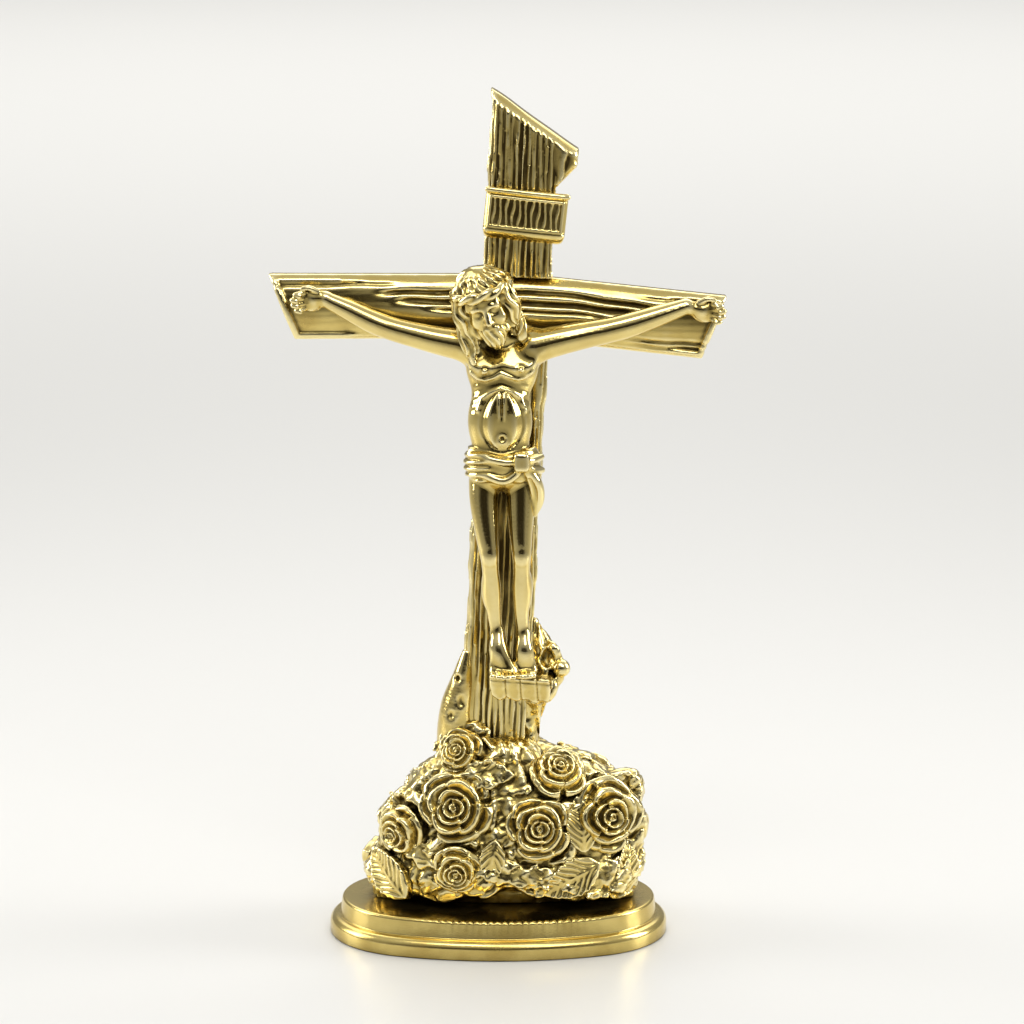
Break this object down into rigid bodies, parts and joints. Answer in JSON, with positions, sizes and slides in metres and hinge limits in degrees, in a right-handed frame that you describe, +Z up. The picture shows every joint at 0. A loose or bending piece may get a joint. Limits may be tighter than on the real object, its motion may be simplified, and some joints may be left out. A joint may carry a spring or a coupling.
{
  "type": "standing crucifix",
  "caption": "Free-standing table crucifix in cast brass: a rustic leaning cross with a corpus, footrest and bare title plate, on a mound of roses over a stepped oval plinth.",
  "frame": {"origin": "middle of the plinth's underside, on the surface that the crucifix stands on", "axes": "+Z up along the cross, +X to the right seen from the front, -Y towards the viewer"},
  "size_m": [0.1268, 0.061, 0.2406],
  "materials": {
    "plinth_brass": "satin polished, darker in the step",
    "cast_brass": "cast and hand polished, brown patina left in the hollows",
    "figure_brass": "bright polished, brown patina left in the hollows",
    "pin_brass": "dressed flush and polished",
    "steel": "zinc plated"
  },
  "bodies": {
    "root": {"base_plinth": "plinth_brass", "corpus": "figure_brass", "rose_mound": "cast_brass", "upright_post": "cast_brass", "crossbeam": "cast_brass", "title_plate": "cast_brass", "footrest": "cast_brass", "root_buttress": "cast_brass", "branch_stub": "cast_brass", "rose_large_left": "cast_brass", "rose_large_right": "cast_brass", "rose_middle": "cast_brass", "rose_low_left": "cast_brass", "rose_left_side": "cast_brass", "rose_upper_right": "cast_brass", "rose_upper_left": "cast_brass", "rose_back_left": "cast_brass", "rose_back_middle": "cast_brass", "rose_back_right": "cast_brass", "rose_back_upper": "cast_brass", "leaf_right_front": "cast_brass", "leaf_right_side": "cast_brass", "leaf_left_low": "cast_brass", "leaf_left_high": "cast_brass", "leaf_between_roses": "cast_brass", "leaf_front_bud": "cast_brass", "leaf_back_left": "cast_brass", "leaf_back_right": "cast_brass", "title_pins": "pin_brass", "hand_pins": "pin_brass", "foot_pin": "pin_brass", "footrest_pin": "pin_brass", "lap_rivet": "pin_brass", "locating_dowels": "pin_brass", "fixing_stud": "steel", "fixing_washer": "steel", "fixing_nut": "steel"}
  },
  "joints": []
}
